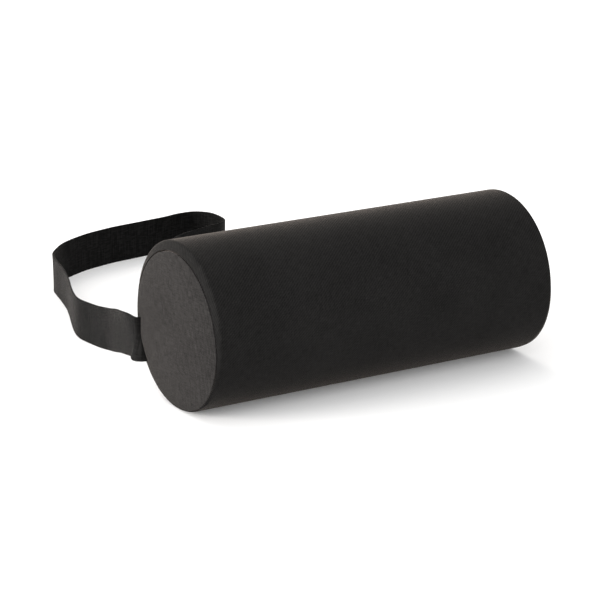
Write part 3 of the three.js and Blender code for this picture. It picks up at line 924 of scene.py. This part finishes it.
def make_puller(material):
    """The pull tab: an eye round the slider's bridge and a long tapered grip."""
    half = 4 * MM
    length = 30 * MM
    eye = 4.9 * MM
    corner = 2.5 * MM
    rim = [(0.45 * MM, -half + 1.2 * MM), (0.45 * MM, half - 1.2 * MM)]
    rim += [(-0.4 * MM, half - 0.8 * MM)]
    rim += [(-eye - 2 * MM, half - 0.7 * MM), (-length / 2, half - 0.1 * MM)]
    rim += arc_points(-length + corner, half - corner, corner, 90, 180, 7)
    rim += arc_points(-length + corner, corner - half, corner, 180, 270, 7)
    rim += [(-length / 2, -half + 0.1 * MM), (-eye - 2 * MM, -half + 0.7 * MM)]
    rim += [(-0.4 * MM, -half + 0.8 * MM)]
    middle = -eye / 2 - 0.25 * MM
    hole = [(x + middle, y) for x, y in rounded_box(eye - 0.6 * MM, 2.8 * MM, 0.8 * MM)]
    grip = [(x - 19.5 * MM, y) for x, y in rounded_box(13 * MM, 3.4 * MM, 1.6 * MM)]
    points, faces = plate([rim, hole, grip], 0.95 * MM, 0.22 * MM)
    shape = (lay_on_zip(points, SLIDER_X, PIVOT_RADIUS), faces)
    add_solid("zip_puller", shape, material, "zip_pull_tab", body="pull_tab")


# ---- materials ------------------------------------------------------------------------


class Surface:
    """A material on one Principled shader, with short calls for its node tree."""

    def __init__(self, name, roughness, metallic=0.0, sheen=0.0, sheen_roughness=0.5):
        self.material = bpy.data.materials.new(name)
        self.material.use_nodes = True
        self.tree = self.material.node_tree
        self.shader = self.tree.nodes["Principled BSDF"]
        self.set("Roughness", roughness)
        self.set("Metallic", metallic)
        self.set("Sheen Weight", sheen)
        self.set("Sheen Roughness", sheen_roughness)

    def feed(self, value, socket):
        if isinstance(value, bpy.types.NodeSocket):
            self.tree.links.new(value, socket)
        else:
            socket.default_value = value

    def node(self, kind):
        return self.tree.nodes.new("ShaderNode" + kind)

    def set(self, name, value):
        self.feed(value, self.shader.inputs[name])

    def math(self, operation, a, b=0.0, c=0.0):
        node = self.node("Math")
        node.operation = operation
        for value, socket in zip((a, b, c), node.inputs):
            self.feed(value, socket)
        return node.outputs[0]

    def uv(self):
        node = self.node("UVMap")
        node.uv_map = "cloth"
        split = self.node("SeparateXYZ")
        self.tree.links.new(node.outputs[0], split.inputs[0])
        return split.outputs[0], split.outputs[1]

    def scaled(self, a, b, by_a, by_b):
        """A vector of two coordinates, each times its own factor."""
        node = self.node("CombineXYZ")
        self.feed(self.math("MULTIPLY", a, by_a), node.inputs[0])
        self.feed(self.math("MULTIPLY", b, by_b), node.inputs[1])
        return node.outputs[0]

    def position(self):
        return self.node("TexCoord").outputs["Object"]

    def noise(self, scale, detail=2.0, roughness=0.5, vector=None):
        node = self.node("TexNoise")
        node.inputs["Scale"].default_value = scale
        node.inputs["Detail"].default_value = detail
        node.inputs["Roughness"].default_value = roughness
        self.tree.links.new(vector or self.position(), node.inputs["Vector"])
        return node.outputs["Fac"]

    def wave(self, a, per_a, b, per_b):
        """A smooth wave from 0 to 1, with so many periods per metre along a and b."""
        along = self.math("MULTIPLY", a, 2 * math.pi * per_a)
        both = self.math("MULTIPLY_ADD", b, 2 * math.pi * per_b, along)
        return self.math("MULTIPLY_ADD", self.math("SINE", both), 0.5, 0.5)

    def range(self, value, low, high, to_low=0.0, to_high=1.0):
        node = self.node("MapRange")
        for value, socket in zip((value, low, high, to_low, to_high), node.inputs):
            self.feed(value, socket)
        return node.outputs[0]

    def paint(self, factor, dark, light):
        """Mixes the base colour from dark to light."""
        node = self.node("Mix")
        node.data_type = "RGBA"
        self.feed(factor, node.inputs["Factor"])
        self.feed(dark, node.inputs["A"])
        self.feed(light, node.inputs["B"])
        self.set("Base Color", node.outputs["Result"])

    def bump(self, height, distance, strength):
        node = self.node("Bump")
        node.inputs["Strength"].default_value = strength
        node.inputs["Distance"].default_value = distance
        self.tree.links.new(height, node.inputs["Height"])
        self.tree.links.new(node.outputs[0], self.shader.inputs["Normal"])

    def spread(self, value, reach):
        """A noise's middle values, spread evenly from -reach to reach."""
        return self.range(value, 0.3, 0.7, -reach, reach)


def woven(name, dark, light, rib, yarn, slub, sheen, tint):
    """Woven polyester. rib holds the twill ribs per metre along both directions of the
    cloth, yarn its yarns per metre, and slub how uneven the yarns are."""
    surface = Surface(name, 0.88, sheen=sheen, sheen_roughness=0.27)
    surface.set("Sheen Tint", tint)
    surface.set("Specular IOR Level", 0.05)
    u, v = surface.uv()
    wobble = surface.noise(900, detail=1.0)
    bent = surface.math("MULTIPLY_ADD", wobble, 0.00025, u)
    ribs = surface.wave(bent, rib[0], v, rib[1])
    across = surface.wave(bent, yarn, v, 0.0)
    along = surface.wave(bent, 0.0, v, yarn)
    yarns = surface.math("MAXIMUM", across, along)
    fuzz = surface.noise(5200, roughness=0.7)
    height = surface.math("MULTIPLY_ADD", yarns, 0.35, ribs)
    height = surface.math("MULTIPLY_ADD", fuzz, 0.5, height)
    surface.bump(height, 0.11 * MM, 0.8)
    cloudy = surface.noise(26, detail=3.0)
    warp = surface.noise(1.0, vector=surface.scaled(u, v, 1500, 140))
    weft = surface.noise(1.0, vector=surface.scaled(u, v, 140, 1500))
    slubs = surface.math("ADD", surface.spread(warp, 0.5), surface.spread(weft, 0.5))
    # The tone is lighter on the raised ribs and fuzz and darker in the hollows between them,
    # which is painted shade; the slubs and clouds are the yarns' own uneven colour.
    tone_and_painted_shade = surface.math("MULTIPLY_ADD", ribs, 0.4, surface.math("MULTIPLY", fuzz, 0.5))
    tone_and_painted_shade = surface.math("MULTIPLY_ADD", slubs, slub, tone_and_painted_shade)
    tone_and_painted_shade = surface.math("ADD", tone_and_painted_shade, surface.spread(cloudy, 0.1))
    surface.paint(tone_and_painted_shade, dark, light)
    surface.set("Roughness", surface.range(fuzz, 0.2, 0.8, 0.8, 0.95))
    return surface.material


def webbing(name):
    """Woven elastic: fine ribs along it, crossed by the picks."""
    surface = Surface(name, 0.7, sheen=0.16, sheen_roughness=0.12)
    surface.set("Sheen Tint", (1.0, 0.88, 0.8, 1))
    surface.set("Specular IOR Level", 0.05)
    u, v = surface.uv()
    ribs = surface.wave(u, 0.0, v, 900)
    picks = surface.wave(u, 1300, v, 450)
    fuzz = surface.noise(4000, roughness=0.65)
    height = surface.math("MULTIPLY_ADD", picks, 0.6, ribs)
    height = surface.math("MULTIPLY_ADD", fuzz, 0.4, height)
    cloudy = surface.noise(40)
    cords = surface.noise(1.0, vector=surface.scaled(u, v, 150, 900))
    wefts = surface.noise(1.0, vector=surface.scaled(u, v, 1000, 60))
    height = surface.math("MULTIPLY_ADD", wefts, 3.0, height)
    height = surface.math("MULTIPLY_ADD", cords, 3.0, height)
    surface.bump(height, 0.12 * MM, 0.8)
    # The tone follows the bump's height: lighter on the picks, fuzz, cords and wefts that stand
    # up and darker in the hollows, which is painted shade together with the yarns' own uneven
    # colour; the clouds vary it at random.
    tone_and_painted_shade = surface.math("MULTIPLY_ADD", picks, 0.35, surface.math("MULTIPLY", fuzz, 0.5))
    tone_and_painted_shade = surface.math("ADD", tone_and_painted_shade, surface.spread(cords, 0.9))
    tone_and_painted_shade = surface.math("ADD", tone_and_painted_shade, surface.spread(wefts, 0.9))
    tone_and_painted_shade = surface.math("ADD", tone_and_painted_shade, surface.spread(cloudy, 0.1))
    surface.paint(tone_and_painted_shade, (0.003, 0.0029, 0.0028, 1), (0.0095, 0.0092, 0.009, 1))
    surface.set("Roughness", surface.range(fuzz, 0.2, 0.8, 0.62, 0.8))
    return surface.material


def tape_cloth(name):
    surface = Surface(name, 0.85, sheen=0.2)
    u, v = surface.uv()
    mirrored = surface.math("ABSOLUTE", v)
    chevrons = surface.wave(u, 700, mirrored, 700)
    picks = surface.wave(u, 1600, v, 0.0)
    fuzz = surface.noise(5000)
    height = surface.math("MULTIPLY_ADD", picks, 0.5, chevrons)
    surface.bump(height, 0.08 * MM, 0.7)
    # The tone is lighter on the raised chevrons and darker in the hollows between them, which is
    # painted shade; the fuzz varies it at random.
    tone_and_painted_shade = surface.math("MULTIPLY_ADD", chevrons, 0.4, surface.math("MULTIPLY", fuzz, 0.5))
    surface.paint(tone_and_painted_shade, (0.008, 0.008, 0.008, 1), (0.022, 0.021, 0.021, 1))
    return surface.material


def nylon(name):
    surface = Surface(name, 0.42)
    surface.set("Coat Weight", 0.15)
    worn = surface.noise(700, detail=3.0)
    surface.paint(worn, (0.008, 0.008, 0.0085, 1), (0.022, 0.022, 0.022, 1))
    surface.set("Roughness", surface.range(worn, 0.3, 0.7, 0.34, 0.55))
    surface.bump(worn, 0.02 * MM, 0.4)
    return surface.material


def enamel(name):
    """Black enamel on zinc, rubbed thin on the edges that stand proud."""
    surface = Surface(name, 0.32, metallic=0.15)
    surface.set("Coat Weight", 0.15)
    surface.set("Coat Roughness", 0.2)
    grain = surface.noise(2600, detail=3.0, roughness=0.6)
    patches = surface.noise(420, detail=4.0, roughness=0.65)
    geometry = surface.node("NewGeometry")
    edges = surface.range(geometry.outputs["Pointiness"], 0.53, 0.62)
    rubbed = surface.math("MULTIPLY", edges, surface.range(patches, 0.48, 0.62, 0.0, 0.8))
    surface.paint(rubbed, (0.014, 0.014, 0.0145, 1), (0.19, 0.18, 0.165, 1))
    surface.set("Roughness", surface.range(grain, 0.3, 0.7, 0.27, 0.42))
    surface.bump(grain, 0.015 * MM, 0.35)
    return surface.material


def sewing_thread(name):
    surface = Surface(name, 0.6, sheen=0.3)
    ply = surface.node("TexWave")
    ply.inputs["Scale"].default_value = 420
    ply.bands_direction = "DIAGONAL"
    surface.tree.links.new(surface.position(), ply.inputs["Vector"])
    fuzz = surface.noise(6000)
    surface.bump(ply.outputs["Fac"], 0.06 * MM, 0.7)
    surface.paint(fuzz, (0.016, 0.0155, 0.015, 1), (0.042, 0.04, 0.038, 1))
    return surface.material


def open_foam(name):
    surface = Surface(name, 0.95)
    surface.set("Subsurface Weight", 0.1)
    surface.set("Subsurface Radius", (0.004, 0.003, 0.002))
    cells = surface.node("TexVoronoi")
    cells.inputs["Scale"].default_value = 1400
    surface.tree.links.new(surface.position(), cells.inputs["Vector"])
    aged = surface.noise(18, detail=3.0)
    surface.bump(cells.outputs["Distance"], 0.4 * MM, 0.8)
    surface.paint(aged, (0.56, 0.5, 0.36, 1), (0.74, 0.7, 0.58, 1))
    return surface.material


# ---- stage ----------------------------------------------------------------------------


def make_floor():
    size = 12.0
    steps = 24
    line = np.linspace(-size, size, steps + 1)
    points = [(x, y, 0) for y in line for x in line]
    faces, _ = grid_faces(steps + 1, steps + 1)
    mesh = mesh_from("floor", points, faces)
    floor = new_object("floor", mesh)
    surface = Surface("floor", 0.9)
    surface.set("Specular IOR Level", 0.0)
    surface.set("Emission Color", (1, 1, 1, 1))
    surface.set("Emission Strength", 0.13)
    surface.paint(surface.noise(3.0), (0.83, 0.83, 0.83, 1), (0.85, 0.85, 0.85, 1))
    mesh.materials.append(surface.material)


def add_light(name, azimuth, elevation, distance, size, power, colour=(1, 1, 1)):
    data = bpy.data.lights.new(name, "AREA")
    data.shape = "DISK"
    data.size = size
    data.energy = power
    data.color = colour
    light = new_object(name, data)
    direction = towards(math.radians(azimuth), math.radians(elevation))
    light.location = Vector((0, 0.05, 0.04)) + direction * distance
    light.rotation_euler = direction.to_track_quat("Z", "Y").to_euler()


def make_stage():
    make_floor()
    add_light("key", -96, 14, 2.4, 1.1, 70, (1.0, 0.975, 0.95))
    add_light("rim", 168, 38, 2.4, 1.8, 22, (1.0, 0.95, 0.9))
    add_light("fill", -30, 36, 2.4, 1.6, 14)
    world = bpy.data.worlds.new("studio")
    world.use_nodes = True
    world.node_tree.nodes["Background"].inputs["Color"].default_value = (1, 1, 1, 1)
    world.node_tree.nodes["Background"].inputs["Strength"].default_value = 1.0
    bpy.context.scene.world = world
    bpy.context.scene.view_settings.view_transform = "Standard"


# ---- everything -----------------------------------------------------------------------


make_camera()
make_strap(webbing("strap_webbing"))

roll = make_roll_form()
cover = woven(
    "cover_fabric", (0.0048, 0.0047, 0.0046, 1), (0.0182, 0.0175, 0.0171, 1),
    rib=(400, 450), yarn=2200, slub=0.35, sheen=0.135, tint=(1.0, 0.86, 0.76, 1),
)
# The end panels' fabric is a lighter copy of the cover's: partly the ends' own slightly lighter
# cloth, partly painted light, for the lamp that falls full on the end panels.
ends = woven(
    "end_fabric", (0.0088, 0.0083, 0.0082, 1), (0.0305, 0.0287, 0.028, 1),
    rib=(600, -90), yarn=2200, slub=0.6, sheen=0.24, tint=(1.0, 0.88, 0.8, 1),
)
make_cover_tube(roll, cover)
make_end_cap(roll, -1, "end_cap_left", "end_panel_left", ends)
make_end_cap(roll, 1, "end_cap_right", "end_panel_right", ends)
make_foam(open_foam("foam"))

cloth = tape_cloth("zip_tape")
teeth = nylon("zip_coil")
metal = enamel("zip_metal")
sewn = sewing_thread("thread")
for label, side in (("upper", 1), ("lower", -1)):
    make_tape(side, f"tape_{label}", f"zip_tape_{label}", cloth)
    make_coil(side, f"teeth_{label}", f"zip_coil_{label}", teeth)
    make_stitching(side, f"stitching_{label}", f"zip_stitch_{label}", sewn)
    stop = (f"top_stop_{label}", f"zip_top_stop_{label}")
    make_stop(STOP_X, side * 2.1 * MM, 2.8 * MM, *stop, metal)
make_stop(-STOP_X, 0.0, 7.0 * MM, "bottom_stop", "zip_bottom_stop", metal)
make_guard(cover)
make_slider(metal)
make_puller(metal)

make_stage()
